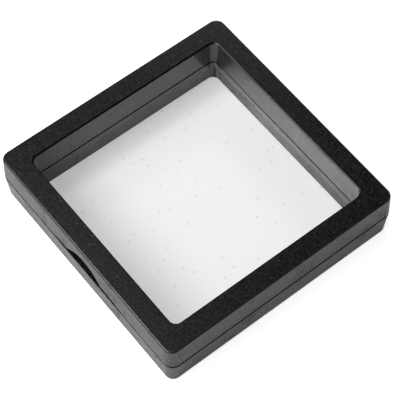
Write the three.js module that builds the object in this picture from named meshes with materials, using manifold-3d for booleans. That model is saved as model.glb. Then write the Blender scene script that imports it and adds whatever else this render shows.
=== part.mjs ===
// Floating display box: two hinged square half frames, each with a clear elastic film stretched over
// its window. Closed, the two films meet and hold a small thing between them.
// Millimetres, +Z up. The box lies closed on its lower frame: the origin is in the rest face, under the
// middle of the whole box, hinge barrels included. -Y is the side with the thumb notch, +Y has the hinge.

import * as THREE from "three";
import * as BufferGeometryUtils from "three/addons/utils/BufferGeometryUtils.js";
import Module from "manifold-3d";

const wasm = await Module();
wasm.setup();

// Overall sizes
const side = 90; // outer wall to outer wall at the parting line, where the box is widest
const lowerHeight = 10.35; // rest face to the middle of the parting gap
const upperHeight = 9.65; // middle of the parting gap to the top face
const partingGap = 0.3; // between the two rims, and between the two films
const outerCornerRadius = 3.6; // in plan, at the parting line
const rimBand = 8.3; // outer wall to window at the parting line
const leastCornerRadius = 0.4; // in plan, for walls far inside a rounded one

// Draft: how far a wall leans in from the parting line to the face
const lowerOuterDraft = 0.8;
const upperOuterDraft = 0.4;
const lowerWindowDraft = 0.8;
const upperWindowDraft = 0.9;

// Half frames
const faceThickness = 1.8; // the flat bezel plate
const outerWall = 1.8;
const skirtWall = 1.3; // the wall round the window
const windowCornerRadius = 1.85; // in plan, at the parting line
const lowerEdgeRadius = 0.4; // between rest face and outer wall
const upperEdgeRadius = 0.7; // between top face and outer wall
const windowEdgeRadius = 0.5; // between a face and the window's wall

// Films and the rings that hold them
const filmThickness = 0.12;
const filmSeat = 0.02; // bond line under the film's margin
const ringWall = 1.5;
const ringHeight = 4.2;
const ringClearance = 0.2; // between ring and skirt, where the film's hem lies
const ringSeat = 0.05; // over the shoulder that the ring is pushed down to
const ringShoulder = 0.9; // how far that shoulder stands out from the skirt
const ringRecess = 0.15; // ring's end below the end of the skirt
const ringChamfer = 0.3;

// Thumb notch in the upper frame's outer wall
const notchOffset = 1; // towards +X from the middle of the side
const notchArchRadius = 11;
const notchFlareRadius = 5;
const notchRunOut = 1.35; // the flares' ends over the rim, just inside the bow below
const notchWeb = 3.85; // top of the arch to the top face

// The same rim bows up a little over a length on both sides of the notch
const bowOffset = 2.5; // towards +X from the middle of the side
const bowHalfLength = 23.5;
const bowHeight = 2;
const bowSegments = 20;

// Hinge: two stations, each with two lower knuckles round one upper knuckle, and a steel pin
const hingeShare = 0.62; // place of a station along half the side
const knuckleRadius = 1.7;
const knuckleWidth = 4;
const knuckleGap = 0.3; // between knuckles, and round a knuckle in its pocket
const hingeOutset = 0.3; // axis outside the outer wall
const hingePadThickness = 1.2;
const hingePadHeight = 4.5;
const pinRadius = 0.75;
const pinHoleGap = 0.06;
const pinRunningGap = 0.1; // in the knuckle that turns on the pin
const pinRecess = 0.2;
const pinChamfer = 0.15;

// Snap catches on the opening side
const catchShare = 0.55; // place of a catch along half the side
const tongueWidth = 7;
const tongueThickness = 1;
const tongueReach = 3.3; // above the lower rim
const tongueGap = 0.5; // to the upper frame's outer wall
const barbHeight = 0.9;
const barbReach = 0.2;
const beadHeight = 0.8;
const beadReach = 0.2;
const beadRise = 0.8; // bead above the upper rim
const barbDrop = 0.3; // barb below the tongue's end

// Locating lip on the lower rim, which stands inside the upper frame's wall on all but the hinge side
const lipThickness = 0.9;
const lipReach = 1.1; // above the lower rim
const lipDepth = 1.6; // root of the lip below the rim
const lipGap = 0.3; // to the upper frame's outer wall

// Ribs across the channel
const ribThickness = 1;
const ribShares = [-0.8, -0.3, 0.3, 0.8]; // places along half the side
const ribDrop = 3.2; // rib below the rim
const ribRingGap = 0.4; // rib to film ring

// Making of the shapes
const cornerSegments = 4; // per eighth of a turn
const edgeSteps = 3;
const barrelSegments = 32;
const pinSegments = 20;
const overrun = 1; // cutters past what they cut
const bite = 0.2; // joined shapes into each other
const weld = 1e-4;

const wallHalf = side / 2;
const hingeY = wallHalf + hingeOutset;
const hingeZ = lowerHeight;
const windowHalf = wallHalf - rimBand;
const skirtHalf = windowHalf + skirtWall;
const ringInnerHalf = skirtHalf + ringClearance;
const ringOuterHalf = ringInnerHalf + ringWall;
const innerWallHalf = wallHalf - outerWall;

// A half frame, with out = -1 where its face looks down and 1 where it looks up
const lower = {
  out: -1,
  rim: lowerHeight - partingGap / 2,
  face: 0,
  outerDraft: lowerOuterDraft,
  windowDraft: lowerWindowDraft,
  edgeRadius: lowerEdgeRadius,
};
const upper = {
  out: 1,
  rim: lowerHeight + partingGap / 2,
  face: lowerHeight + upperHeight,
  outerDraft: upperOuterDraft,
  windowDraft: upperWindowDraft,
  edgeRadius: upperEdgeRadius,
};
for (const half of [lower, upper]) {
  half.skirtEnd = half.rim + half.out * (filmThickness + filmSeat);
  half.ringEnd = half.skirtEnd + half.out * ringRecess;
  half.shoulder = half.ringEnd + half.out * (ringHeight + ringSeat);
  half.plate = half.face - half.out * faceThickness;
}

// Booleans
function toSolid(geometry) {
  const bare = geometry.clone();
  bare.deleteAttribute("normal");
  bare.deleteAttribute("uv");
  const merged = BufferGeometryUtils.mergeVertices(bare, weld);
  return new wasm.Manifold(
    new wasm.Mesh({
      numProp: 3,
      vertProperties: merged.attributes.position.array,
      triVerts: new Uint32Array(merged.index.array),
    }),
  );
}

function toGeometry(solid) {
  const mesh = solid.getMesh();
  const geometry = new THREE.BufferGeometry();
  geometry.setAttribute("position", new THREE.BufferAttribute(mesh.vertProperties, mesh.numProp));
  geometry.setIndex(new THREE.BufferAttribute(mesh.triVerts, 1));
  geometry.computeVertexNormals();
  return geometry;
}

// Plain shapes
function boxBetween(x0, x1, y0, y1, z0, z1) {
  const geometry = new THREE.BoxGeometry(Math.abs(x1 - x0), Math.abs(y1 - y0), Math.abs(z1 - z0));
  geometry.translate((x0 + x1) / 2, (y0 + y1) / 2, (z0 + z1) / 2);
  return geometry;
}

function rodAlongX(radius, x0, x1, segments) {
  const geometry = new THREE.CylinderGeometry(radius, radius, x1 - x0, segments);
  geometry.rotateZ(Math.PI / 2);
  geometry.translate((x0 + x1) / 2, hingeY, hingeZ);
  return geometry;
}

function roundSquare(half, radius) {
  const centre = half - radius;
  const outline = new THREE.Shape();
  outline.absarc(centre, centre, radius, 0, Math.PI / 2);
  outline.absarc(-centre, centre, radius, Math.PI / 2, Math.PI);
  outline.absarc(-centre, -centre, radius, Math.PI, (3 * Math.PI) / 2);
  outline.absarc(centre, -centre, radius, (3 * Math.PI) / 2, 2 * Math.PI);
  return outline;
}

// A closed section carried round a square with round corners. A point of the section is its distance
// from the middle, its height, and the corner radius there.
function squareFrame(section) {
  const turn = Math.sign(THREE.ShapeUtils.area(section.map((p) => new THREE.Vector2(p.half, p.z))));
  const ordered = turn > 0 ? section : [...section].reverse();
  const loops = ordered.map((p) => roundSquare(p.half, p.radius).getPoints(cornerSegments));
  const count = loops[0].length;
  const positions = loops.flatMap((loop, i) => loop.flatMap((q) => [q.x, q.y, ordered[i].z]));
  const index = [];
  for (let i = 0; i < loops.length; i++) {
    const next = (i + 1) % loops.length;
    for (let j = 0; j < count; j++) {
      const beside = (j + 1) % count;
      const a = i * count + j;
      const b = i * count + beside;
      const c = next * count + beside;
      const d = next * count + j;
      index.push(a, b, c, a, c, d);
    }
  }
  const geometry = new THREE.BufferGeometry();
  geometry.setAttribute("position", new THREE.Float32BufferAttribute(positions, 3));
  geometry.setIndex(index);
  return geometry;
}

// A quarter round from one point of a section to the next, bulging towards the given corner
function quarterRound(from, to, corner) {
  const points = [];
  for (let i = 0; i <= edgeSteps; i++) {
    const angle = (i / edgeSteps) * (Math.PI / 2);
    const s = Math.sin(angle);
    const c = Math.cos(angle);
    points.push({
      half: corner.half + (from.half - corner.half) * (1 - s) + (to.half - corner.half) * (1 - c),
      z: corner.z + (from.z - corner.z) * (1 - s) + (to.z - corner.z) * (1 - c),
    });
  }
  return points;
}

// Half frame: bezel plate, outer wall and window skirt, open towards the parting line
function outerRadius(half) {
  return Math.max(outerCornerRadius - (wallHalf - half), leastCornerRadius);
}

function windowRadius(half) {
  return Math.max(windowCornerRadius + (half - windowHalf), leastCornerRadius);
}

function halfFrameSection(frame) {
  const faceHalf = wallHalf - frame.outerDraft;
  const windowFaceHalf = windowHalf + frame.windowDraft;
  const shoulderHalf = skirtHalf + ringShoulder;
  const outside = [
    { half: wallHalf, z: frame.rim },
    ...quarterRound(
      { half: faceHalf, z: frame.face - frame.out * frame.edgeRadius },
      { half: faceHalf - frame.edgeRadius, z: frame.face },
      { half: faceHalf, z: frame.face },
    ),
  ];
  const window = [
    ...quarterRound(
      { half: windowFaceHalf + windowEdgeRadius, z: frame.face },
      { half: windowFaceHalf, z: frame.face - frame.out * windowEdgeRadius },
      { half: windowFaceHalf, z: frame.face },
    ),
    { half: windowHalf, z: frame.skirtEnd },
    { half: skirtHalf, z: frame.skirtEnd },
    { half: skirtHalf, z: frame.shoulder },
    { half: shoulderHalf, z: frame.shoulder },
    { half: shoulderHalf, z: frame.plate },
  ];
  const inside = [
    { half: faceHalf - outerWall, z: frame.plate },
    { half: innerWallHalf, z: frame.rim },
  ];
  return [
    ...outside.map((p) => ({ ...p, radius: outerRadius(p.half) })),
    ...window.map((p) => ({ ...p, radius: windowRadius(p.half) })),
    ...inside.map((p) => ({ ...p, radius: outerRadius(p.half) })),
  ];
}

// Ribs across the channel, from the plate up to below the rim, on all four sides. The drafted wall
// leans out, so a rib runs on to where the wall's inside ends at the rim.
function channelRibs(frame) {
  const inner = ringOuterHalf + ribRingGap;
  const outer = innerWallHalf;
  const top = frame.rim + frame.out * ribDrop;
  const bottom = frame.plate + frame.out * bite;
  const ribs = [];
  for (let quarter = 0; quarter < 4; quarter++) {
    for (const share of ribShares) {
      const x = share * skirtHalf;
      const rib = boxBetween(x - ribThickness / 2, x + ribThickness / 2, inner, outer, top, bottom);
      rib.rotateZ((quarter * Math.PI) / 2);
      ribs.push(toSolid(rib));
    }
  }
  return ribs;
}

// Hinge stations
const stationLength = 3 * knuckleWidth + 2 * knuckleGap;
const stationPlaces = [-hingeShare * wallHalf, hingeShare * wallHalf];

function hingePads(frame) {
  return stationPlaces.map((x) =>
    toSolid(
      boxBetween(
        x - stationLength / 2,
        x + stationLength / 2,
        innerWallHalf - hingePadThickness,
        innerWallHalf + bite,
        frame.rim,
        frame.rim + frame.out * hingePadHeight,
      ),
    ),
  );
}

function knuckleSpans(x, isMiddle) {
  const step = knuckleWidth + knuckleGap;
  const centres = isMiddle ? [x] : [x - step, x + step];
  return centres.map((c) => [c - knuckleWidth / 2, c + knuckleWidth / 2]);
}

function addHinge(body, isMiddle, holeRadius) {
  let solid = body;
  for (const x of stationPlaces) {
    for (const [x0, x1] of knuckleSpans(x, !isMiddle)) {
      const pocket = rodAlongX(knuckleRadius + knuckleGap, x0 - knuckleGap, x1 + knuckleGap, barrelSegments);
      solid = solid.subtract(toSolid(pocket));
    }
    for (const [x0, x1] of knuckleSpans(x, isMiddle)) {
      solid = solid.add(toSolid(rodAlongX(knuckleRadius, x0, x1, barrelSegments)));
    }
    const halfHole = stationLength / 2 + knuckleGap;
    const hole = rodAlongX(holeRadius, x - halfHole, x + halfHole, barrelSegments);
    solid = solid.subtract(toSolid(hole));
  }
  return solid;
}

// Snap catches
const catchPlaces = [-catchShare * wallHalf, catchShare * wallHalf];

function catchTongues() {
  const outerFace = -(innerWallHalf - tongueGap);
  const innerFace = outerFace + tongueThickness;
  const end = lower.rim + tongueReach;
  return catchPlaces.flatMap((x) => {
    const x0 = x - tongueWidth / 2;
    const x1 = x + tongueWidth / 2;
    const stem = boxBetween(x0, x1, outerFace, innerFace, lower.plate - bite, end);
    const root = boxBetween(x0, x1, -(innerWallHalf + bite), innerFace, lower.plate - bite, lower.rim - bite);
    const barbTop = end - barbDrop;
    const barb = boxBetween(x0, x1, outerFace - barbReach, outerFace + bite, barbTop - barbHeight, barbTop);
    return [stem, root, barb].map(toSolid);
  });
}

function catchBeads() {
  const face = -innerWallHalf;
  const start = upper.rim + beadRise;
  return catchPlaces.map((x) => {
    const x0 = x - tongueWidth / 2;
    const x1 = x + tongueWidth / 2;
    return toSolid(boxBetween(x0, x1, face - bite, face + beadReach, start, start + beadHeight));
  });
}

// Locating lip, open behind the thumb notch and along the hinge side
function locatingLip() {
  const outerHalf = innerWallHalf - lipGap;
  const innerHalf = outerHalf - lipThickness;
  const rootHalf = innerWallHalf + bite;
  const section = [
    { half: innerHalf, z: lower.rim - lipDepth },
    { half: rootHalf, z: lower.rim - lipDepth },
    { half: rootHalf, z: lower.rim - bite },
    { half: outerHalf, z: lower.rim - bite },
    { half: outerHalf, z: lower.rim + lipReach },
    { half: innerHalf, z: lower.rim + lipReach },
  ];
  const ring = toSolid(squareFrame(section.map((p) => ({ ...p, radius: outerRadius(p.half) }))));
  const bottom = lower.rim - lipDepth - overrun;
  const top = lower.rim + lipReach + overrun;
  const rear = boxBetween(-wallHalf, wallHalf, skirtHalf, wallHalf, bottom, top);
  const { flareX } = notchShape();
  const notch = boxBetween(notchOffset - flareX, notchOffset + flareX, -wallHalf, -ringOuterHalf, bottom, top);
  return ring.subtract(toSolid(rear)).subtract(toSolid(notch));
}

// Thumb notch: an arch that runs out into the bowed rim in two flares
function notchShape() {
  const height = upper.face - notchWeb - upper.rim;
  const archCentre = height - notchArchRadius;
  const flareCentre = notchRunOut + notchFlareRadius;
  const reach = notchArchRadius + notchFlareRadius;
  const flareX = Math.sqrt(reach ** 2 - (flareCentre - archCentre) ** 2);
  return { archCentre, flareCentre, flareX };
}

function thumbNotch() {
  const { archCentre, flareCentre, flareX } = notchShape();
  const tilt = Math.atan2(flareCentre - archCentre, flareX);
  const outline = new THREE.Shape();
  outline.moveTo(-flareX, -overrun);
  outline.lineTo(flareX, -overrun);
  outline.absarc(flareX, flareCentre, notchFlareRadius, -Math.PI / 2, tilt - Math.PI, true);
  outline.absarc(0, archCentre, notchArchRadius, tilt, Math.PI - tilt, false);
  outline.absarc(-flareX, flareCentre, notchFlareRadius, -tilt, -Math.PI / 2, true);
  return throughFrontWall(outline, notchOffset, 8);
}

// Shallow bow of the rim, one long arc
function rimBow() {
  const radius = (bowHalfLength ** 2 + bowHeight ** 2) / (2 * bowHeight);
  const reach = Math.asin(bowHalfLength / radius);
  const outline = new THREE.Shape();
  outline.moveTo(-bowHalfLength, -overrun);
  outline.lineTo(bowHalfLength, -overrun);
  outline.absarc(0, bowHeight - radius, radius, Math.PI / 2 - reach, Math.PI / 2 + reach, false);
  return throughFrontWall(outline, bowOffset, bowSegments);
}

// An outline drawn from the upper rim upwards, run through the outer wall of the opening side
function throughFrontWall(outline, offset, curveSegments) {
  const depth = outerWall + upperOuterDraft + 2 * overrun;
  const geometry = new THREE.ExtrudeGeometry(outline, { depth, bevelEnabled: false, curveSegments });
  geometry.rotateX(Math.PI / 2);
  geometry.translate(offset, -wallHalf - overrun + depth, upper.rim);
  return geometry;
}

function halfFrame(frame, additions) {
  let solid = toSolid(squareFrame(halfFrameSection(frame)));
  for (const piece of [...channelRibs(frame), ...hingePads(frame), ...additions]) {
    solid = solid.add(piece);
  }
  return solid;
}

function lowerFrame() {
  const solid = halfFrame(lower, [...catchTongues(), locatingLip()]);
  return toGeometry(addHinge(solid, false, pinRadius + pinHoleGap));
}

function upperFrame() {
  const cuts = toSolid(thumbNotch()).add(toSolid(rimBow()));
  const solid = halfFrame(upper, catchBeads()).subtract(cuts);
  return toGeometry(addHinge(solid, true, pinRadius + pinRunningGap));
}

// Clear film, flat over the window and over the end of the skirt
function film(frame) {
  const outline = roundSquare(skirtHalf, windowRadius(skirtHalf));
  const settings = { depth: filmThickness, bevelEnabled: false, curveSegments: cornerSegments };
  const geometry = new THREE.ExtrudeGeometry(outline, settings);
  geometry.translate(0, 0, Math.min(frame.rim, frame.rim + frame.out * filmThickness));
  return geometry;
}

// Ring pushed over the skirt, which keeps the film stretched
function filmRing(frame) {
  const base = frame.ringEnd + frame.out * ringHeight;
  const section = [
    { half: ringInnerHalf, z: frame.ringEnd },
    { half: ringOuterHalf - ringChamfer, z: frame.ringEnd },
    { half: ringOuterHalf, z: frame.ringEnd + frame.out * ringChamfer },
    { half: ringOuterHalf, z: base },
    { half: ringInnerHalf, z: base },
  ];
  return squareFrame(section.map((p) => ({ ...p, radius: windowRadius(p.half) })));
}

// Hinge pin: a straight steel pin with chamfered ends, turned about Y and laid along X
function hingePin() {
  const halfLength = stationLength / 2 - pinRecess;
  const profile = [
    new THREE.Vector2(0, -halfLength),
    new THREE.Vector2(pinRadius - pinChamfer, -halfLength),
    new THREE.Vector2(pinRadius, -halfLength + pinChamfer),
    new THREE.Vector2(pinRadius, halfLength - pinChamfer),
    new THREE.Vector2(pinRadius - pinChamfer, halfLength),
    new THREE.Vector2(0, halfLength),
  ];
  const geometry = new THREE.LatheGeometry(profile, pinSegments);
  geometry.rotateZ(Math.PI / 2);
  return geometry;
}

// Materials: a new one for each mesh
function blackPlastic() {
  return new THREE.MeshStandardMaterial({ color: 0x262626, roughness: 0.55, metalness: 0 });
}

function clearFilm() {
  return new THREE.MeshStandardMaterial({
    color: 0xf2f3f4,
    roughness: 0.08,
    metalness: 0,
    transparent: true,
    opacity: 0.18,
  });
}

function pinSteel() {
  return new THREE.MeshStandardMaterial({ color: 0xb9bcc0, roughness: 0.3, metalness: 1 });
}

function addMesh(group, name, geometry, material) {
  const mesh = new THREE.Mesh(geometry, material);
  mesh.name = name;
  group.add(mesh);
  return mesh;
}

// The box, set so that the middle of its whole depth, barrels included, is over the origin
const hingeReach = hingeOutset + knuckleRadius;
const box = new THREE.Group();
box.position.y = -hingeReach / 2;

addMesh(box, "lower_frame", lowerFrame(), blackPlastic());
addMesh(box, "lower_film", film(lower), clearFilm());
addMesh(box, "lower_film_ring", filmRing(lower), blackPlastic());

const lid = new THREE.Group();
box.add(lid);
addMesh(lid, "upper_frame", upperFrame(), blackPlastic());
addMesh(lid, "upper_film", film(upper), clearFilm());
addMesh(lid, "upper_film_ring", filmRing(upper), blackPlastic());

for (const [name, x] of [["hinge_pin_left", stationPlaces[0]], ["hinge_pin_right", stationPlaces[1]]]) {
  addMesh(box, name, hingePin(), pinSteel()).position.set(x, hingeY, hingeZ);
}

export default box;
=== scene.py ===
import math

import bmesh
import bpy
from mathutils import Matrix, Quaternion, Vector


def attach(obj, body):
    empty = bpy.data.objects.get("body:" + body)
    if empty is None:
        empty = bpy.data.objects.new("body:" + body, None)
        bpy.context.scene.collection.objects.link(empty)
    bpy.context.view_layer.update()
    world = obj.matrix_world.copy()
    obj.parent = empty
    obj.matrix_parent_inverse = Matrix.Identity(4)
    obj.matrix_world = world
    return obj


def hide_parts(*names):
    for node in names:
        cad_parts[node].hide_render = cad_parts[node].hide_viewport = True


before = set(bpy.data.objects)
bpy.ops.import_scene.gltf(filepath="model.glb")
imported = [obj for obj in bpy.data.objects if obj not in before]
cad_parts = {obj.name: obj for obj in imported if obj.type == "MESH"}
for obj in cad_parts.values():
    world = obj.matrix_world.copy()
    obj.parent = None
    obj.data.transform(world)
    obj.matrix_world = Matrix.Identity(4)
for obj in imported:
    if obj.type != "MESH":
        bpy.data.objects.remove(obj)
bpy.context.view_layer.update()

MM = 0.001

# The box's own sizes, in millimetres, as in the part's source. The box's middle is 1 mm in front of
# the origin, because the hinge barrels stand 2 mm out at the back.
MIDDLE_Y = -1.0


def place(x, y, z):
    """A point given from the box's middle, in metres in the part's frame."""
    return Vector((x * MM, (y + MIDDLE_Y) * MM, z * MM))


def direction(azimuth, elevation):
    """From the box towards that azimuth and elevation, which are in degrees."""
    around = math.radians(azimuth)
    up = math.radians(elevation)
    return Vector((math.sin(around) * math.cos(up), -math.cos(around) * math.cos(up), math.sin(up)))


# Camera, at the photograph's angle
def look_from(azimuth, elevation, distance, target, roll, lens):
    """Distance in metres, roll in degrees, and the lens in millimetres for a sensor 36 mm wide."""
    back = direction(azimuth, elevation)
    bpy.ops.object.camera_add(location=target + back * distance)
    camera = bpy.context.object
    camera.name = "camera"
    camera.rotation_mode = "QUATERNION"
    turn = Quaternion((0, 0, 1), math.radians(roll))
    camera.rotation_quaternion = (-back).to_track_quat("-Z", "Y") @ turn
    camera.data.sensor_width = 36
    camera.data.lens = lens
    camera.data.clip_start = 0.01
    camera.data.clip_end = 20
    bpy.context.scene.camera = camera


look_from(azimuth=52.02, elevation=59.73, distance=0.5185, target=place(3.13, -0.64, 10),
          roll=-0.295, lens=145.6)


# Pieces are modelled round the box's own middle and settled into the part's frame when finished
SIDE_HALF = 45.0
OUTER_RADIUS = 3.6
LEAST_RADIUS = 0.4
WINDOW_HALF = 36.7
WINDOW_RADIUS = 1.85
SKIRT_HALF = 38.0
SHOULDER_HALF = 38.9
INNER_WALL_HALF = 43.2
OUTER_WALL = 1.8
FACE_THICKNESS = 1.8

FILM_THICKNESS = 0.12
RING_INNER_HALF = 38.2
RING_OUTER_HALF = 39.7
RING_HEIGHT = 4.2

HINGE_Y = 45.3
HINGE_Z = 10.35
STATIONS = (-27.9, 27.9)
KNUCKLE_RADIUS = 1.7
KNUCKLE_WIDTH = 4.0
KNUCKLE_GAP = 0.3
STATION_LENGTH = 3 * KNUCKLE_WIDTH + 2 * KNUCKLE_GAP
PIN_RADIUS = 0.75

CATCHES = (-24.75, 24.75)
CATCH_HALF_WIDTH = 3.5
NOTCH_MIDDLE = 1.0

# How deep a piece that is joined on reaches into what carries it
SUNK = 0.2
# A coordinate past the box's walls, where cutters start and end
BEYOND = 46.0
# Faces in the arc of each of the box's corners
CORNER_STEPS = 12

# Each half frame: the way from its rim out to its face, the heights of both, how far the walls lean
# from the rim to the face, and the rounding of the outer wall's two edges
LOWER = {
    "out": -1,
    "rim": 10.2,
    "face": 0.0,
    "outer_draft": 0.8,
    "window_draft": 0.8,
    "edge_radius": 0.4,
    "rim_radius": 0.2,
}
UPPER = {
    "out": 1,
    "rim": 10.5,
    "face": 20.0,
    "outer_draft": 0.4,
    "window_draft": 0.7,
    "edge_radius": 0.65,
    "rim_radius": 0.7,
}


def outer_radius(half):
    """Corner radius of a square of that half width, running alongside the outer wall."""
    return max(OUTER_RADIUS - (SIDE_HALF - half), LEAST_RADIUS)


def window_radius(half):
    """Corner radius of a square of that half width, running alongside the window's wall."""
    return WINDOW_RADIUS + (half - WINDOW_HALF)


# Working with the mesh
def object_mode():
    if bpy.context.mode != "OBJECT":
        bpy.ops.object.mode_set(mode="OBJECT")


def select_nothing():
    object_mode()
    bpy.ops.object.select_all(action="DESELECT")


def only(piece):
    """Makes the piece the one that is selected and active."""
    select_nothing()
    piece.select_set(True)
    bpy.context.view_layer.objects.active = piece


def edit(piece):
    only(piece)
    bpy.ops.object.mode_set(mode="EDIT")


def started(name):
    """The primitive that was just added, named, with its turn and size in its mesh."""
    piece = bpy.context.object
    piece.name = name
    only(piece)
    bpy.ops.object.transform_apply(location=True, rotation=True, scale=True)
    return piece


def select_edges(piece, chosen):
    """Selects the edges whose two ends are both chosen. Points are given in millimetres."""
    bpy.context.tool_settings.mesh_select_mode = (False, True, False)
    bpy.ops.mesh.select_all(action="DESELECT")
    mesh = bmesh.from_edit_mesh(piece.data)
    for edge in mesh.edges:
        if all(chosen(end.co / MM) for end in edge.verts):
            edge.select_set(True)
    bmesh.update_edit_mesh(piece.data)


def bevel(piece, chosen, width, steps):
    select_edges(piece, chosen)
    bpy.ops.mesh.bevel(offset=width * MM, segments=steps, affect="EDGES")


def at_x(x):
    """Chooses the points in the upright plane at that x."""
    return lambda p: abs(p.x - x) < 0.001


def at_height(z):
    """Chooses the points at that height."""
    return lambda p: abs(p.z - z) < 0.001


def on_outline(half, radius, z):
    """Chooses the points on a rounded square of that half width and corner radius, at that height."""
    def chosen(p):
        past_x = abs(p.x) - (half - radius)
        past_y = abs(p.y) - (half - radius)
        in_corner = past_x > 0 and past_y > 0
        away = math.hypot(past_x, past_y) if in_corner else max(past_x, past_y)
        return abs(away - radius) < 0.01 and abs(p.z - z) < 0.01
    return chosen


def weld(distance):
    """In edit mode, joins points that lie within that many millimetres of each other."""
    bpy.ops.mesh.select_all(action="SELECT")
    bpy.ops.mesh.remove_doubles(threshold=distance * MM)


def face_outwards():
    """In edit mode, turns all faces of a closed piece outwards."""
    bpy.ops.mesh.select_all(action="SELECT")
    bpy.ops.mesh.normals_make_consistent(inside=False)


def add_outline(half, radius, z):
    """In edit mode, adds the edge of a rounded square."""
    bpy.ops.mesh.primitive_plane_add(size=2 * half * MM, location=(0, 0, z * MM))
    bpy.ops.mesh.bevel(offset=radius * MM, segments=CORNER_STEPS, affect="VERTICES")
    bpy.ops.mesh.delete(type="ONLY_FACE")


def wall_between(first, second):
    """One wall of a square tube, from one rounded square to the next."""
    select_nothing()
    bpy.ops.mesh.primitive_plane_add(size=MM)
    piece = started("wall")
    edit(piece)
    bpy.ops.mesh.delete(type="VERT")
    add_outline(*first[:3])
    add_outline(*second[:3])
    bpy.ops.mesh.select_all(action="SELECT")
    bpy.ops.mesh.bridge_edge_loops()
    object_mode()
    return piece


def joined(pieces):
    only(pieces[0])
    for piece in pieces[1:]:
        piece.select_set(True)
    bpy.ops.object.join()
    return bpy.context.object


def square_tube(name, section):
    """A closed section carried round the box: its corners are (half, radius, z, bevel, steps)."""
    piece = joined([wall_between(a, b) for a, b in zip(section, section[1:] + section[:1])])
    piece.name = name
    edit(piece)
    weld(0.001)
    face_outwards()
    for half, radius, z, width, steps in section:
        if width:
            bevel(piece, on_outline(half, radius, z), width, steps)
    object_mode()
    return piece


def block(name, x0, x1, y0, y1, z0, z1):
    select_nothing()
    middle = (Vector((x0, y0, z0)) + Vector((x1, y1, z1))) / 2 * MM
    sizes = (Vector((x1, y1, z1)) - Vector((x0, y0, z0))) * MM
    bpy.ops.mesh.primitive_cube_add(size=1, location=middle, scale=sizes)
    return started(name)


def rod(name, radius, x0, x1, y, z, sides=48, rounding=0.0, steps=2):
    """A round bar along the hinge's direction, with its two ends rounded."""
    select_nothing()
    bpy.ops.mesh.primitive_cylinder_add(
        vertices=sides, radius=radius * MM, depth=(x1 - x0) * MM,
        location=((x0 + x1) / 2 * MM, y * MM, z * MM), rotation=(0, math.pi / 2, 0))
    piece = started(name)
    if rounding:
        edit(piece)
        for end in (x0, x1):
            bevel(piece, at_x(end), rounding, steps)
        object_mode()
    return piece


def copy_of(piece, shift, quarter_turns):
    """A copy with its own mesh, moved and turned about the box's upright middle line."""
    made = piece.copy()
    made.data = piece.data.copy()
    bpy.context.collection.objects.link(made)
    made.location = Vector(shift) * MM
    only(made)
    bpy.ops.object.transform_apply(location=True, rotation=True, scale=True)
    made.rotation_euler.z = quarter_turns * math.pi / 2
    bpy.ops.object.transform_apply(location=True, rotation=True, scale=True)
    return made


def on_all_sides(piece, places=(0.0,)):
    """Copies of the piece at those places along each of the four sides, joined. The piece goes."""
    copies = [copy_of(piece, (x, 0, 0), quarter) for quarter in range(4) for x in places]
    bpy.data.objects.remove(piece)
    return joined(copies)


def combine(piece, tool, operation):
    """Joins the tool to the piece or cuts it out of it, and removes the tool."""
    only(piece)
    modifier = piece.modifiers.new("shape", "BOOLEAN")
    modifier.operation = operation
    modifier.object = tool
    modifier.solver = "EXACT"
    bpy.ops.object.modifier_apply(modifier=modifier.name)
    bpy.data.objects.remove(tool)
    # Points that a cut leaves within 2 microns of each other become one, so that the next cut finds
    # a closed piece
    edit(piece)
    weld(0.002)
    object_mode()
    return piece


# Half frames
def frame_shell(name, half):
    """Bezel plate, outer wall and window skirt of one half frame, in one moulding.

    The window's edge is well rounded, and so is the rim outside, so that the closed box shows a dark
    line between its halves.
    """
    under_rim = 0.14
    shoulder_depth = 4.4
    window_edge_radius = 0.5
    out = half["out"]
    rim = half["rim"]
    face = half["face"]
    skirt_end = rim + out * under_rim
    shoulder = skirt_end + out * shoulder_depth
    plate = face - out * FACE_THICKNESS
    face_half = SIDE_HALF - half["outer_draft"]
    window_face = WINDOW_HALF + half["window_draft"]
    base_half = face_half - OUTER_WALL
    section = [
        (SIDE_HALF, OUTER_RADIUS, rim, half["rim_radius"], 5),
        (face_half, outer_radius(face_half), face, half["edge_radius"], 5),
        (window_face, window_radius(window_face), face, window_edge_radius, 5),
        (WINDOW_HALF, WINDOW_RADIUS, skirt_end, 0.12, 2),
        (SKIRT_HALF, window_radius(SKIRT_HALF), skirt_end, 0.2, 3),
        (SKIRT_HALF, window_radius(SKIRT_HALF), shoulder, 0, 0),
        (SHOULDER_HALF, window_radius(SHOULDER_HALF), shoulder, 0.15, 2),
        (SHOULDER_HALF, window_radius(SHOULDER_HALF), plate, 0.4, 3),
        (base_half, outer_radius(base_half), plate, 0.3, 3),
        (INNER_WALL_HALF, outer_radius(INNER_WALL_HALF), rim, 0.12, 2),
    ]
    return square_tube(name, section)


def add_ribs(piece, half):
    """Four ribs a side stiffen the channel between outer wall and film ring."""
    width = 1.0
    inner = 40.1
    under_rim = 3.2
    into_wall = 0.6
    rounding = 0.25
    places = (-30.4, -11.4, 11.4, 30.4)
    out = half["out"]
    rim_end = half["rim"] + out * under_rim
    face_end = half["face"] - out * (FACE_THICKNESS - SUNK)
    outer = SIDE_HALF - half["outer_draft"] - OUTER_WALL + into_wall
    rib = block("rib", -width / 2, width / 2, inner, outer,
                min(rim_end, face_end), max(rim_end, face_end))
    edit(rib)
    bevel(rib, at_height(rim_end), rounding, 2)
    object_mode()
    return combine(piece, on_all_sides(rib, places), "UNION")


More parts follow.
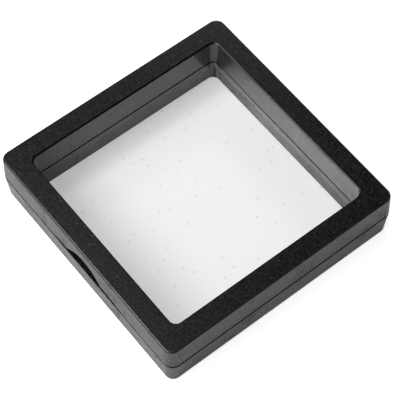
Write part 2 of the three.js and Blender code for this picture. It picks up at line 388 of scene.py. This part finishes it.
def add_hinge(piece, half, own, others, hole_radius):
    """Pads inside the wall, own knuckles, pockets for the other half's knuckles, and the pin's hole.

    A station's three knuckles are -1, 0 and 1, from left to right.
    """
    play = 0.05
    pad_thickness = 1.2
    pad_into_wall = 0.4
    pad_depth = 4.5
    out = half["out"]
    near = half["rim"] + out * play
    far = half["rim"] + out * pad_depth
    for x in STATIONS:
        pad = block("pad", x - STATION_LENGTH / 2, x + STATION_LENGTH / 2,
                    INNER_WALL_HALF - pad_thickness, INNER_WALL_HALF + pad_into_wall,
                    min(near, far), max(near, far))
        combine(piece, pad, "UNION")
    step = KNUCKLE_WIDTH + KNUCKLE_GAP
    reach = KNUCKLE_WIDTH / 2
    barrel_reach = reach - play
    hole_reach = STATION_LENGTH / 2 + KNUCKLE_GAP
    for x in STATIONS:
        for knuckle in others:
            middle = x + knuckle * step
            pocket = rod("pocket", KNUCKLE_RADIUS + KNUCKLE_GAP, middle - reach - KNUCKLE_GAP,
                         middle + reach + KNUCKLE_GAP, HINGE_Y, HINGE_Z)
            combine(piece, pocket, "DIFFERENCE")
        for knuckle in own:
            middle = x + knuckle * step
            barrel = rod("barrel", KNUCKLE_RADIUS, middle - barrel_reach, middle + barrel_reach,
                         HINGE_Y, HINGE_Z, rounding=0.15)
            combine(piece, barrel, "UNION")
        hole = rod("hole", hole_radius, x - hole_reach, x + hole_reach, HINGE_Y, HINGE_Z, sides=32)
        combine(piece, hole, "DIFFERENCE")
    return piece


def add_tongues(piece):
    """Two springy tongues with ramped barbs, which hold the box shut."""
    behind_wall = 0.5
    thickness = 1.0
    over_rim = 3.3
    rounding = 0.2
    root_under_rim = 0.2
    root_inset = 0.1
    barb_reach = 0.2
    ramp = 0.15
    root_z = LOWER["face"] + FACE_THICKNESS - SUNK
    end = LOWER["rim"] + over_rim
    barb_end = end - 0.3
    barb_start = end - 1.2
    outer_face = -(INNER_WALL_HALF - behind_wall)
    inner_face = outer_face + thickness
    root_half_width = CATCH_HALF_WIDTH - root_inset
    for x in CATCHES:
        left = x - CATCH_HALF_WIDTH
        right = x + CATCH_HALF_WIDTH
        stem = block("tongue", left, right, outer_face, inner_face, root_z, end)
        edit(stem)
        bevel(stem, at_height(end), rounding, 2)
        object_mode()
        # The root stays inside the stem's faces, so that the union cuts the same way each run
        root = block("root", x - root_half_width, x + root_half_width,
                     -(INNER_WALL_HALF + SUNK), inner_face - root_inset,
                     root_z - root_inset, LOWER["rim"] - root_under_rim)
        barb = block("barb", left, right, outer_face - barb_reach, outer_face + barb_reach,
                     barb_start, barb_end)
        edit(barb)
        select_edges(barb, lambda p: p.y < outer_face and at_height(barb_end)(p))
        bpy.ops.transform.translate(value=(0, ramp * MM, 0))
        object_mode()
        combine(stem, barb, "UNION")
        combine(piece, root, "UNION")
        combine(piece, stem, "UNION")
    return piece


def add_beads(piece):
    """Round beads behind the opening side's wall, which the barbs pass."""
    radius = 0.4
    over_rim = 1.2
    for x in CATCHES:
        bead = rod("bead", radius, x - CATCH_HALF_WIDTH, x + CATCH_HALF_WIDTH,
                   -(INNER_WALL_HALF + SUNK), UPPER["rim"] + over_rim, sides=24, rounding=0.1)
        combine(piece, bead, "UNION")
    return piece


def add_lip(piece):
    """Locating lip inside the rim, open along the hinge side and behind the thumb notch."""
    clearance = 0.3
    thickness = 0.9
    into_wall = 0.3
    notch_half = 10.91
    rim = LOWER["rim"]
    foot = rim - 1.6
    ledge = rim - 0.2
    end = rim + 1.1
    outer = INNER_WALL_HALF - clearance
    inner = outer - thickness
    root = INNER_WALL_HALF + into_wall
    section = [
        (inner, outer_radius(inner), foot, 0, 0),
        (root, outer_radius(root), foot, 0, 0),
        (root, outer_radius(root), ledge, 0, 0),
        (outer, outer_radius(outer), ledge, 0, 0),
        (outer, outer_radius(outer), end, 0.25, 2),
        (inner, outer_radius(inner), end, 0.15, 2),
    ]
    lip = square_tube("lip", section)
    # Both cutters pass the lip below and above
    below = 7.0
    above = 13.0
    rear = block("rear", -BEYOND, BEYOND, SKIRT_HALF, BEYOND, below, above)
    combine(lip, rear, "DIFFERENCE")
    behind_notch = block("behind_notch", NOTCH_MIDDLE - notch_half, NOTCH_MIDDLE + notch_half,
                         -BEYOND, -RING_OUTER_HALF, below, above)
    combine(lip, behind_notch, "DIFFERENCE")
    return combine(piece, lip, "UNION")


def add_pin_marks(piece, half):
    """Round dents that the ejector pins leave in the channel, three a side."""
    radius = 1.1
    depth = 0.3
    channel_middle = 40.75
    places = (-18.0, 0.0, 18.0)
    plate = half["face"] - half["out"] * FACE_THICKNESS
    select_nothing()
    bpy.ops.mesh.primitive_cylinder_add(
        vertices=24, radius=radius * MM, depth=depth * MM,
        location=(0, channel_middle * MM, plate * MM))
    mark = started("pin_mark")
    return combine(piece, on_all_sides(mark, places), "DIFFERENCE")


def front_cutter(name, x, z, turns):
    """An outline turned arc by arc as on a drawing board, closed under the rim and run through the wall.

    It starts at x, z and is symmetrical about its middle turn's centre. A turn is the arc's centre in
    x and z, its angle and its steps.
    """
    under_rim = 1.0
    through_wall = 4.2
    y = -BEYOND
    below = UPPER["rim"] - under_rim
    select_nothing()
    bpy.ops.mesh.primitive_plane_add(size=MM, location=(x * MM, y * MM, z * MM))
    cutter = started(name)
    bpy.context.tool_settings.mesh_select_mode = (True, False, False)
    edit(cutter)
    bpy.ops.mesh.merge(type="CENTER")
    bpy.ops.mesh.select_all(action="SELECT")
    for centre_x, centre_z, angle, steps in turns:
        centre = (centre_x * MM, y * MM, centre_z * MM)
        bpy.ops.mesh.spin(steps=steps, angle=angle, center=centre, axis=(0, 1, 0))
    middle = turns[len(turns) // 2][0]
    width = 2 * (middle - x)
    bpy.ops.mesh.extrude_region_move(TRANSFORM_OT_translate={"value": (0, 0, (below - z) * MM)})
    bpy.ops.mesh.extrude_region_move(TRANSFORM_OT_translate={"value": (-width * MM, 0, 0)})
    weld(0.001)
    bpy.ops.mesh.edge_face_add()
    bpy.ops.mesh.select_all(action="SELECT")
    bpy.ops.mesh.extrude_region_move(TRANSFORM_OT_translate={"value": (0, through_wall * MM, 0)})
    face_outwards()
    object_mode()
    return cutter


def notch_cutter():
    """The thumb notch: an arch that runs out into the bowed rim in two flares."""
    arch = 11.0
    flare = 5.0
    foot_over_rim = 1.35
    top_under_face = 3.85
    foot_z = UPPER["rim"] + foot_over_rim
    arch_z = UPPER["face"] - top_under_face - arch
    flare_z = foot_z + flare
    flare_x = math.sqrt((arch + flare) ** 2 - (flare_z - arch_z) ** 2)
    tilt = math.atan2(flare_z - arch_z, flare_x)
    return front_cutter("notch", NOTCH_MIDDLE - flare_x, foot_z, [
        (NOTCH_MIDDLE - flare_x, flare_z, math.pi / 2 - tilt, 12),
        (NOTCH_MIDDLE, arch_z, -(math.pi - 2 * tilt), 28),
        (NOTCH_MIDDLE + flare_x, flare_z, math.pi / 2 - tilt, 12),
    ])


def bow_cutter():
    """The rim's shallow bow on both sides of the notch, one long arc."""
    half_length = 23.5
    height = 2.0
    middle = 2.5
    radius = (half_length ** 2 + height ** 2) / (2 * height)
    reach = math.asin(half_length / radius)
    arc = (middle, UPPER["rim"] + height - radius, -2 * reach, 40)
    return front_cutter("bow", middle - half_length, UPPER["rim"], [arc])


def finish_surface(piece):
    """Smooth rounds beside flat faces, and the piece's place in the part's frame."""
    least_edge = 0.003
    edit(piece)
    weld(least_edge)
    bpy.ops.mesh.dissolve_degenerate(threshold=least_edge * MM)
    only(piece)
    bpy.ops.object.shade_smooth_by_angle(angle=math.radians(35))
    modifier = piece.modifiers.new("flats", "WEIGHTED_NORMAL")
    modifier.keep_sharp = True
    bpy.ops.object.modifier_apply(modifier=modifier.name)
    piece.location.y = MIDDLE_Y * MM
    bpy.ops.object.transform_apply(location=True, rotation=False, scale=False)
    return piece


def make_lower_frame():
    piece = frame_shell("lower_half_frame", LOWER)
    add_ribs(piece, LOWER)
    add_pin_marks(piece, LOWER)
    add_tongues(piece)
    add_lip(piece)
    add_hinge(piece, LOWER, own=(-1, 1), others=(0,), hole_radius=0.81)
    return finish_surface(piece)


def make_upper_frame():
    piece = frame_shell("upper_half_frame", UPPER)
    add_ribs(piece, UPPER)
    add_pin_marks(piece, UPPER)
    add_beads(piece)
    combine(piece, bow_cutter(), "DIFFERENCE")
    combine(piece, notch_cutter(), "DIFFERENCE")
    add_hinge(piece, UPPER, own=(0,), others=(-1, 1), hole_radius=0.85)
    return finish_surface(piece)


# Films, their rings and the hinge pins
def make_film(name, half):
    """Stretched film: flat across the window, round the skirt's end, and down behind the ring as a hem."""
    over_skirt = 0.16
    hem_depth = 4.3
    bend = 0.3
    out = half["out"]
    rim = half["rim"]
    outer = SKIRT_HALF + over_skirt
    inner = outer - FILM_THICKNESS
    hem_end = rim + out * hem_depth
    loops = [
        (outer, window_radius(outer), rim),
        (outer, window_radius(outer), hem_end),
        (inner, window_radius(inner), hem_end),
        (inner, window_radius(inner), rim + out * FILM_THICKNESS),
    ]
    piece = joined([wall_between(a, b) for a, b in zip(loops, loops[1:])])
    piece.name = name
    edit(piece)
    weld(0.001)
    for loop in (loops[0], loops[-1]):
        select_edges(piece, on_outline(*loop))
        bpy.ops.mesh.edge_face_add()
    face_outwards()
    bevel(piece, on_outline(*loops[0]), bend, 4)
    bevel(piece, on_outline(*loops[-1]), bend - FILM_THICKNESS, 4)
    return finish_surface(piece)


def make_ring(name, half):
    """Ring that grips the film's hem, with a scallop in each side to lever it out."""
    under_rim = 0.29
    scallop_radius = 6.0
    scallop_depth = 0.8
    scallop_inward = 0.6
    scallop_outward = 1.0
    out = half["out"]
    near = half["rim"] + out * under_rim
    far = near + out * RING_HEIGHT
    section = [
        (RING_INNER_HALF, window_radius(RING_INNER_HALF), near, 0.25, 3),
        (RING_OUTER_HALF, window_radius(RING_OUTER_HALF), near, 0.3, 3),
        (RING_OUTER_HALF, window_radius(RING_OUTER_HALF), far, 0.15, 2),
        (RING_INNER_HALF, window_radius(RING_INNER_HALF), far, 0.15, 2),
    ]
    piece = square_tube(name, section)
    scallop = rod("scallop", scallop_radius, RING_OUTER_HALF - scallop_inward,
                  RING_OUTER_HALF + scallop_outward, 0,
                  near - out * (scallop_radius - scallop_depth), sides=96)
    combine(piece, on_all_sides(scallop), "DIFFERENCE")
    return finish_surface(piece)


def make_pin(name, x):
    """Straight steel pin with domed ends."""
    inset = 0.2
    half_length = STATION_LENGTH / 2 - inset
    piece = rod(name, PIN_RADIUS, x - half_length, x + half_length, HINGE_Y, HINGE_Z,
                sides=40, rounding=0.35, steps=5)
    return finish_surface(piece)


# Materials
def linear(code):
    """An sRGB hex colour as the linear colour that a shader takes."""
    parts = [int(code[i:i + 2], 16) / 255 for i in (1, 3, 5)]
    return (*[p / 12.92 if p <= 0.04045 else ((p + 0.055) / 1.055) ** 2.4 for p in parts], 1)


def new_material(name):
    material = bpy.data.materials.new(name)
    material.use_nodes = True
    material.node_tree.nodes.clear()
    return material


def node(material, kind, settings=None, **inputs):
    """Adds a node with its settings. An input is a value or another node's output socket.

    An input is named as its socket is, with _ for a space, or by its number, such as _0.
    """
    made = material.node_tree.nodes.new(kind)
    for key, value in (settings or {}).items():
        setattr(made, key, value)
    for key, value in inputs.items():
        numbered = key[0] == "_" and key[1:].isdigit()
        socket = made.inputs[int(key[1:]) if numbered else key.replace("_", " ")]
        if isinstance(value, bpy.types.NodeSocket):
            material.node_tree.links.new(value, socket)
        else:
            socket.default_value = value
    return made


def dusted(material, at, plastic, dust_colour):
    """The plastic's colour with dust on it, in single specks of about 0.3 mm, 2.6 mm apart."""
    specks = node(material, "ShaderNodeTexVoronoi", Vector=at, Scale=1 / (2.6 * MM))
    dust = node(material, "ShaderNodeMapRange", Value=specks.outputs["Distance"],
                From_Min=0.1, From_Max=0.04)
    colour = node(material, "ShaderNodeMix", {"data_type": "RGBA"}, _0=dust.outputs[0],
                  _6=plastic, _7=linear(dust_colour))
    return colour.outputs[2]


def abs_spark_eroded():
    """Black ABS from a spark-eroded tool: an even matt black, slightly lively, with pale dust on it."""
    material = new_material("black_abs_spark_eroded")
    at = node(material, "ShaderNodeTexCoord").outputs["Object"]
    # The tool's grain is about 0.1 mm wide. It is drawn at 0.9 mm, so that it shows.
    grain = node(material, "ShaderNodeTexNoise", Vector=at, Scale=1 / (0.9 * MM), Detail=2.0,
                 Roughness=0.6)
    tone = node(material, "ShaderNodeMapRange", Value=grain.outputs["Fac"], From_Min=0.42, From_Max=0.66)
    plastic = node(material, "ShaderNodeMix", {"data_type": "RGBA"}, _0=tone.outputs[0],
                   _6=linear("#020202"), _7=linear("#1f1f1f"))
    colour = dusted(material, at, plastic.outputs[2], "#5a5a5a")
    dull = node(material, "ShaderNodeMapRange", Value=grain.outputs["Fac"], From_Min=0.3, From_Max=0.7,
                To_Min=0.33, To_Max=0.43)
    relief = node(material, "ShaderNodeBump", Height=grain.outputs["Fac"], Distance=0.06 * MM,
                  Strength=1.0)
    shader = node(material, "ShaderNodeBsdfPrincipled", Base_Color=colour, Roughness=dull.outputs[0],
                  Specular_IOR_Level=0.23, Normal=relief.outputs[0])
    node(material, "ShaderNodeOutputMaterial", Surface=shader.outputs[0])
    return material


def abs_edge_painted_dark():
    """The windows' rounded edges, painted deep black with little gloss: painted shade, a dark line round
    each window.
    """
    material = new_material("black_abs_edge_painted_dark")
    at = node(material, "ShaderNodeTexCoord").outputs["Object"]
    # Handling leaves dull patches about 5 mm long
    wear = node(material, "ShaderNodeTexNoise", Vector=at, Scale=1 / (5 * MM), Detail=2.0)
    gloss = node(material, "ShaderNodeMapRange", Value=wear.outputs["Fac"], From_Min=0.3, From_Max=0.7,
                 To_Min=0.28, To_Max=0.36)
    # Painted shade: a darker base and a weaker reflection than the bezel's make the rounding read as a
    # black line, standing in for the dark surroundings it mirrors
    shader = node(material, "ShaderNodeBsdfPrincipled", Base_Color=linear("#040404"),
                  Roughness=gloss.outputs[0], Specular_IOR_Level=0.12)
    node(material, "ShaderNodeOutputMaterial", Surface=shader.outputs[0])
    return material


def upright_scale(width, length):
    """The scale of a pattern of upright lines, from their width and length in millimetres."""
    return (1 / (width * MM), 1 / (width * MM), 1 / (length * MM))


def with_reflection_band(material, at, colour):
    """The wall's colour with a painted reflection on its top 3.4 mm: a pale band that stands in for the
    lit floor that the wall mirrors there.

    It ends in a wavy line, with waves about 14 mm long.
    """
    spot = node(material, "ShaderNodeSeparateXYZ", _0=at)
    flat = node(material, "ShaderNodeMapping", Vector=at, Scale=(1 / (14 * MM), 1 / (14 * MM), 0.0))
    wave = node(material, "ShaderNodeTexNoise", Vector=flat.outputs[0], Scale=1.0, Detail=1.0)
    line = node(material, "ShaderNodeMapRange", Value=wave.outputs["Fac"], From_Min=0.3, From_Max=0.7,
                To_Min=5.8 * MM, To_Max=7.8 * MM)
    above = node(material, "ShaderNodeMath", {"operation": "SUBTRACT"}, _0=spot.outputs["Z"],
                 _1=line.outputs[0])
    # Painted reflection: the wall is pale above the wavy line
    in_band = node(material, "ShaderNodeMapRange", Value=above.outputs[0],
                  From_Min=-0.5 * MM, From_Max=0.5 * MM)
    reflected = node(material, "ShaderNodeMix", {"data_type": "RGBA"}, _0=in_band.outputs[0],
                _6=colour, _7=linear("#666666"))
    return reflected.outputs[2]


def abs_drafted_wall(name, smooth, rough, specular, skin=0.0, reflection_band=False):
    """Black ABS drawn out along a polished tool wall: satin, with upright drag lines, scuffs and dust.

    The window's walls keep the glossy skin of the moulding, which gives the floor's reflection a core.
    """
    material = new_material(name)
    at = node(material, "ShaderNodeTexCoord").outputs["Object"]
    # Drag lines about 0.7 mm apart and 10 mm long
    lines = node(material, "ShaderNodeMapping", Vector=at, Scale=upright_scale(0.7, 10))
    drag = node(material, "ShaderNodeTexNoise", Vector=lines.outputs[0], Scale=1.0, Detail=2.0,
                Roughness=0.5)
    tone = node(material, "ShaderNodeMapRange", Value=drag.outputs["Fac"], From_Min=0.3, From_Max=0.7)
    plastic = node(material, "ShaderNodeMix", {"data_type": "RGBA"}, _0=tone.outputs[0],
                   _6=linear("#0d0d0d"), _7=linear("#242424"))
    colour = dusted(material, at, plastic.outputs[2], "#6a6a6a")
    # A painted reflection: a pale band at the wall's top, standing in for the lit floor that it mirrors
    if reflection_band:
        colour = with_reflection_band(material, at, colour)
    gloss = node(material, "ShaderNodeMapRange", Value=drag.outputs["Fac"], From_Min=0.3, From_Max=0.7,
                 To_Min=smooth, To_Max=rough)
    # Handling leaves dull upright scuffs about 0.6 mm wide and 3 mm long, in patches of 9 mm
    short_lines = node(material, "ShaderNodeMapping", Vector=at, Scale=upright_scale(0.6, 3))
    scuff = node(material, "ShaderNodeTexNoise", Vector=short_lines.outputs[0], Scale=1.0, Detail=1.0)
    patch = node(material, "ShaderNodeTexNoise", Vector=at, Scale=1 / (9 * MM), Detail=1.0)
    worn = node(material, "ShaderNodeMath", {"operation": "MULTIPLY"}, _0=scuff.outputs["Fac"],
                _1=patch.outputs["Fac"])
    scuffed = node(material, "ShaderNodeMapRange", Value=worn.outputs[0], From_Min=0.27, From_Max=0.37,
                   To_Min=0.0, To_Max=0.16)
    dull = node(material, "ShaderNodeMath", {"operation": "ADD"}, _0=gloss.outputs[0],
                _1=scuffed.outputs[0])
    relief = node(material, "ShaderNodeBump", Height=drag.outputs["Fac"], Distance=0.01 * MM,
                  Strength=0.5)
    shader = node(material, "ShaderNodeBsdfPrincipled", Base_Color=colour, Roughness=dull.outputs[0],
                  Specular_IOR_Level=specular, Coat_Weight=skin, Coat_Roughness=0.16,
                  Normal=relief.outputs[0], Coat_Normal=relief.outputs[0])
    node(material, "ShaderNodeOutputMaterial", Surface=shader.outputs[0])
    return material


def abs_ring():
    """Black ABS ring from a bead-blasted tool: softer and a little greyer than the frames."""
    material = new_material("black_abs_bead_blasted")
    at = node(material, "ShaderNodeTexCoord").outputs["Object"]
    # Blasting dimples about 0.25 mm wide
    dimples = node(material, "ShaderNodeTexVoronoi", Vector=at, Scale=1 / (0.25 * MM))
    tone = node(material, "ShaderNodeMix", {"data_type": "RGBA"}, _0=dimples.outputs["Distance"],
                _6=linear("#1b1b1b"), _7=linear("#131313"))
    relief = node(material, "ShaderNodeBump", Height=dimples.outputs["Distance"], Distance=0.01 * MM,
                  Strength=0.6)
    shader = node(material, "ShaderNodeBsdfPrincipled", Base_Color=tone.outputs[2], Roughness=0.55,
                  Specular_IOR_Level=0.4, Normal=relief.outputs[0])
    node(material, "ShaderNodeOutputMaterial", Surface=shader.outputs[0])
    return material


def elastic_film():
    """Clear polyurethane film, blown and stretched: glass-clear, a soft ripple in its gloss, grey dust."""
    material = new_material("clear_polyurethane_film")
    at = node(material, "ShaderNodeTexCoord").outputs["Object"]
    # The stretch leaves ripples about 9 mm long and a few hundredths of a millimetre high
    ripple = node(material, "ShaderNodeTexNoise", Vector=at, Scale=1 / (9 * MM), Detail=1.0)
    relief = node(material, "ShaderNodeBump", Height=ripple.outputs["Fac"], Distance=0.03 * MM,
                  Strength=0.5)
    clear = node(material, "ShaderNodeBsdfTransparent", Color=linear("#fcfcfc"))
    gloss = node(material, "ShaderNodeBsdfGlossy", Color=linear("#ffffff"), Roughness=0.04,
                 Normal=relief.outputs[0])
    fresnel = node(material, "ShaderNodeFresnel", IOR=1.5)
    # Only a face seen from outside the film mirrors
    side = node(material, "ShaderNodeNewGeometry")
    front = node(material, "ShaderNodeMath", {"operation": "SUBTRACT"}, _0=1.0,
                 _1=side.outputs["Backfacing"])
    share = node(material, "ShaderNodeMath", {"operation": "MULTIPLY"}, _0=fresnel.outputs[0],
                 _1=front.outputs[0])
    sheet = node(material, "ShaderNodeMixShader", _0=share.outputs[0], _1=clear.outputs[0],
                 _2=gloss.outputs[0])
    # Soft grey specks of dust, about 1 mm across as the eye blurs them
    specks = node(material, "ShaderNodeTexVoronoi", Vector=at, Scale=1 / (4.5 * MM))
    dust = node(material, "ShaderNodeMapRange", {"interpolation_type": "SMOOTHSTEP"},
                Value=specks.outputs["Distance"], From_Min=0.22, From_Max=0.0,
                To_Min=0.0, To_Max=0.035)
    grey = node(material, "ShaderNodeBsdfDiffuse", Color=linear("#5c5c5c"))
    both = node(material, "ShaderNodeMixShader", _0=dust.outputs[0], _1=sheet.outputs[0],
                _2=grey.outputs[0])
    node(material, "ShaderNodeOutputMaterial", Surface=both.outputs[0])
    return material


def drawn_steel():
    """Stainless steel wire, drawn and cut: bright grey with fine lines along its length."""
    material = new_material("drawn_stainless_steel")
    at = node(material, "ShaderNodeTexCoord").outputs["Object"]
    # Die lines about 0.08 mm apart, running the pin's length
    along = node(material, "ShaderNodeMapping", Vector=at,
                 Scale=(1 / (6 * MM), 1 / (0.08 * MM), 1 / (0.08 * MM)))
    lines = node(material, "ShaderNodeTexNoise", Vector=along.outputs[0], Scale=1.0, Detail=2.0)
    tone = node(material, "ShaderNodeMix", {"data_type": "RGBA"}, _0=lines.outputs["Fac"],
                _6=linear("#a7a6a3"), _7=linear("#c9c8c4"))
    dull = node(material, "ShaderNodeMapRange", Value=lines.outputs["Fac"], To_Min=0.2, To_Max=0.36)
    relief = node(material, "ShaderNodeBump", Height=lines.outputs["Fac"], Distance=0.005 * MM,
                  Strength=0.5)
    shader = node(material, "ShaderNodeBsdfPrincipled", Base_Color=tone.outputs[2], Metallic=1.0,
                  Roughness=dull.outputs[0], Normal=relief.outputs[0])
    node(material, "ShaderNodeOutputMaterial", Surface=shader.outputs[0])
    return material


# A half frame's material slots, in the order in which its finishes are given
WALL, GRAIN, WINDOW_WALL, HINGE_SIDE, WINDOW_EDGE = range(5)


def finish_half_frame(piece, half, finishes):
    """Grain on the flat faces, drag lines on the walls, and the window's walls and edge by themselves."""
    margin = 0.1
    edge_depth = 0.6
    flat = 0.995
    upright = 0.3
    piece.data.materials.clear()
    for finish in finishes:
        piece.data.materials.append(finish)
    for face in piece.data.polygons:
        x = face.center.x / MM
        y = face.center.y / MM - MIDDLE_Y
        from_face = abs(face.center.z / MM - half["face"])
        reach = max(abs(x), abs(y))
        at_hinge_side = y > abs(x)
        at_edge = reach < SKIRT_HALF + margin and from_face < edge_depth
        if abs(face.normal.z) > flat:
            face.material_index = GRAIN
        # Painted shade: the window's rounded edge takes the finish painted dark, on the three sides away
        # from the hinge only
        elif at_edge and y < abs(x):
            face.material_index = WINDOW_EDGE
        # The window's walls; on the lower frame the hinge side takes the finish with the painted
        # reflection band
        elif reach < SKIRT_HALF - margin and abs(face.normal.z) < upright:
            face.material_index = HINGE_SIDE if at_hinge_side else WINDOW_WALL
        else:
            face.material_index = WALL


# The box
grained = abs_spark_eroded()
# The windows' edges, painted dark as painted shade
shade_painted_edge = abs_edge_painted_dark()
upper_wall = abs_drafted_wall("black_abs_upper_wall", smooth=0.28, rough=0.34, specular=0.75)
lower_wall = abs_drafted_wall("black_abs_lower_wall", smooth=0.28, rough=0.34, specular=0.6)
upper_window_wall = abs_drafted_wall("black_abs_upper_window_wall", smooth=0.29, rough=0.34,
                                     specular=0.65, skin=1.0)
lower_window_wall = abs_drafted_wall("black_abs_lower_window_wall", smooth=0.29, rough=0.34,
                                     specular=0.7, skin=1.0)
# The lower frame's hinge-side window wall, with a painted reflection band at its top
painted_reflection_wall = abs_drafted_wall("black_abs_window_wall_painted_reflection", smooth=0.32, rough=0.4,
                                     specular=0.6, reflection_band=True)
ring_plastic = abs_ring()
clear_film = elastic_film()
steel = drawn_steel()

lower_frame = make_lower_frame()
upper_frame = make_upper_frame()
finish_half_frame(lower_frame, LOWER, (
    lower_wall, grained, lower_window_wall, painted_reflection_wall, shade_painted_edge))
finish_half_frame(upper_frame, UPPER, (
    upper_wall, grained, upper_window_wall, upper_window_wall, shade_painted_edge))
lower_film = make_film("lower_stretched_film", LOWER)
upper_film = make_film("upper_stretched_film", UPPER)
lower_ring = make_ring("lower_hem_ring", LOWER)
upper_ring = make_ring("upper_hem_ring", UPPER)
left_pin = make_pin("left_hinge_wire", STATIONS[0])
right_pin = make_pin("right_hinge_wire", STATIONS[1])
for piece, finish in (
    (lower_film, clear_film),
    (upper_film, clear_film),
    (lower_ring, ring_plastic),
    (upper_ring, ring_plastic),
    (left_pin, steel),
    (right_pin, steel),
):
    piece.data.materials.append(finish)

for piece, body, cad_node, slot in (
    (lower_frame, "base", "lower_frame", "frame_plastic"),
    (lower_film, "base", "lower_film", "clear_film"),
    (lower_ring, "base", "lower_film_ring", "ring_plastic"),
    (left_pin, "base", "hinge_pin_left", "pin_steel"),
    (right_pin, "base", "hinge_pin_right", "pin_steel"),
    (upper_frame, "lid", "upper_frame", "frame_plastic"),
    (upper_film, "lid", "upper_film", "clear_film"),
    (upper_ring, "lid", "upper_film_ring", "ring_plastic"),
):
    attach(piece, body)
    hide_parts(cad_node)


# Stage
def white_floor():
    """Matt white card: its own shade shows the shadows, and a part that is only seen lifts it to white."""
    material = new_material("white_card")
    card = node(material, "ShaderNodeBsdfDiffuse", Color=linear("#efefef"))
    rays = node(material, "ShaderNodeLightPath")
    # Reflections show a third of the lift
    mirrored = node(material, "ShaderNodeMath", {"operation": "MULTIPLY"},
                    _0=rays.outputs["Is Glossy Ray"], _1=0.32)
    seen = node(material, "ShaderNodeMath", {"operation": "MAXIMUM"},
                _0=rays.outputs["Is Camera Ray"], _1=mirrored.outputs[0])
    any_seen = node(material, "ShaderNodeMath", {"operation": "MAXIMUM"},
                    _0=seen.outputs[0], _1=rays.outputs["Is Transmission Ray"])
    # The lift is weaker inside the box's outline, so that the shade in its windows keeps its depth
    at = node(material, "ShaderNodeTexCoord").outputs["Object"]
    spot = node(material, "ShaderNodeSeparateXYZ", _0=at)
    across = node(material, "ShaderNodeMath", {"operation": "ABSOLUTE"}, _0=spot.outputs["X"])
    along = node(material, "ShaderNodeMath", {"operation": "ABSOLUTE"}, _0=spot.outputs["Y"])
    away = node(material, "ShaderNodeMath", {"operation": "MAXIMUM"}, _0=across.outputs[0],
                _1=along.outputs[0])
    level = node(material, "ShaderNodeMapRange", Value=away.outputs[0],
                 From_Min=SKIRT_HALF * MM, From_Max=SIDE_HALF * MM, To_Min=0.5, To_Max=0.85)
    lift = node(material, "ShaderNodeMath", {"operation": "MULTIPLY"}, _0=any_seen.outputs[0],
                _1=level.outputs[0])
    glow = node(material, "ShaderNodeEmission", Color=linear("#ffffff"), Strength=lift.outputs[0])
    both = node(material, "ShaderNodeAddShader", _0=card.outputs[0], _1=glow.outputs[0])
    node(material, "ShaderNodeOutputMaterial", Surface=both.outputs[0])
    return material


bpy.ops.mesh.primitive_plane_add(size=6, location=(0, 0, 0))
floor = bpy.context.object
floor.name = "floor"
floor.data.materials.append(white_floor())


def soft_lamp(name, azimuth, elevation, distance, size, power):
    """A square lamp that faces the box. Angles are in degrees, distance and size in metres."""
    towards = direction(azimuth, elevation)
    bpy.ops.object.light_add(type="AREA", location=towards * distance)
    lamp = bpy.context.object
    lamp.name = name
    lamp.rotation_mode = "QUATERNION"
    lamp.rotation_quaternion = (-towards).to_track_quat("-Z", "Y")
    lamp.data.shape = "SQUARE"
    lamp.data.size = size
    lamp.data.energy = power


soft_lamp("key", azimuth=-20, elevation=50, distance=0.6, size=0.3, power=2.1)
soft_lamp("front", azimuth=15, elevation=30, distance=0.6, size=0.3, power=0.72)
soft_lamp("middle", azimuth=-55, elevation=58, distance=0.6, size=0.14, power=0.25)
soft_lamp("left", azimuth=-130, elevation=36, distance=0.6, size=0.15, power=0.59)
soft_lamp("high", azimuth=-85, elevation=69, distance=0.5, size=0.1, power=0.334)

world = bpy.data.worlds.new("studio")
bpy.context.scene.world = world
world.use_nodes = True
background = world.node_tree.nodes["Background"]
background.inputs["Color"].default_value = (0.02, 0.02, 0.02, 1)
background.inputs["Strength"].default_value = 1.0
bpy.context.scene.view_settings.view_transform = "Standard"
